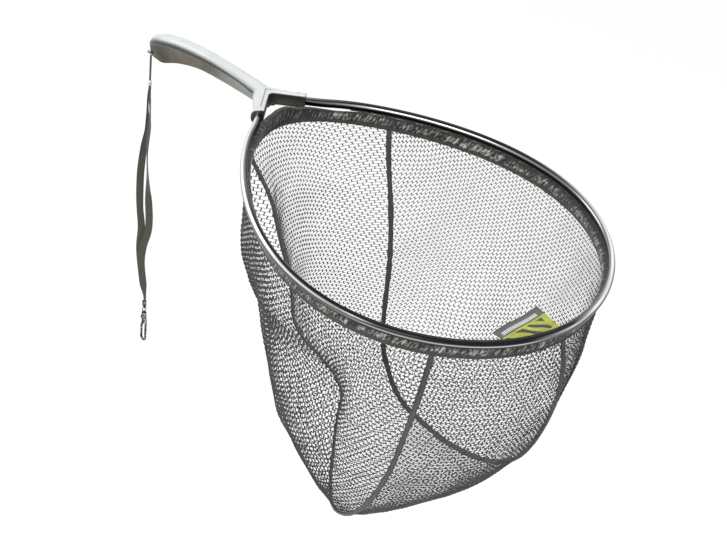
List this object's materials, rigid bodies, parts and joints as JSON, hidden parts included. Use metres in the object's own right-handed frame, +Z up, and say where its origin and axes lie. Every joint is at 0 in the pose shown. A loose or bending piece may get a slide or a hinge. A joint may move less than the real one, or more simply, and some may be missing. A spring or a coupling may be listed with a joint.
{
  "type": "wading net",
  "caption": "Hand net with an egg-shaped tube hoop in a moulded yoke and grip, a sewn mesh bag, and a webbing lanyard with a swivel snap hook.",
  "frame": {"origin": "inside the middle of the grip, where a hand closes round it", "axes": "+X runs from the grip to the hoop's nose, +Z is up with the hoop level and the bag hanging, +Y is to the left seen from the grip"},
  "size_m": [0.7137, 0.3557, 0.5198],
  "materials": {
    "moulded_grip": "satin silver-grey moulding",
    "gunmetal_tube": "bright anodised, dark grey",
    "black_mesh": "knotless nylon mesh",
    "black_tape": "woven binding tape",
    "label_cloth": "plain sewn tag",
    "black_cord": "thin braided cord",
    "grey_webbing": "narrow flat webbing",
    "plated_steel": "nickel plated"
  },
  "bodies": {
    "net": {"handle": "moulded_grip", "hoop": "gunmetal_tube", "hoop_screw_left": "plated_steel", "hoop_screw_right": "plated_steel", "hem_welt": "black_tape", "hem_band": "black_mesh", "hem_binding": "black_tape", "bag_strip": "black_mesh", "bag_side_near": "black_mesh", "bag_side_far": "black_mesh", "seam_tape_near": "black_tape", "seam_tape_far": "black_tape", "label": "label_cloth", "cord_loop": "black_cord"},
    "cord_legs": {"cord_leg_left": "black_cord", "cord_leg_right": "black_cord"},
    "strap": {"cord_crimp": "plated_steel", "webbing_left": "grey_webbing", "webbing_right": "grey_webbing", "webbing_clamp": "plated_steel"},
    "swivel": {"swivel_eye": "plated_steel"},
    "hook": {"snap_hook": "plated_steel", "gate_pin": "plated_steel"},
    "gate": {"hook_gate": "plated_steel"}
  },
  "joints": [
    {"name": "lanyard_swing", "type": "hinge", "parent": "net", "child": "cord_legs", "pos_m": [-0.10357, 0, -0.049], "axis": [0, -1, 0], "range_deg": [-80, 30]},
    {"name": "lanyard_sway", "type": "hinge", "parent": "cord_legs", "child": "strap", "pos_m": [-0.10357, 0, -0.0885], "axis": [1, 0, 0], "range_deg": [-60, 60]},
    {"name": "ring_tilt", "type": "hinge", "parent": "strap", "child": "swivel", "pos_m": [-0.10138, 0.00261, -0.4393], "axis": [0, 1, 0], "range_deg": [-60, 60]},
    {"name": "hook_spin", "type": "hinge", "parent": "swivel", "child": "hook", "pos_m": [-0.10138, 0.00261, -0.4488], "axis": [0, 0, 1], "continuous": true},
    {"name": "gate_open", "type": "hinge", "parent": "hook", "child": "gate", "pos_m": [-0.10478, 0.00261, -0.4588], "axis": [0, -1, 0], "range_deg": [0, 18], "stiffness_Nm_per_rad": 0.002, "springref_deg": -11.46}
  ]
}
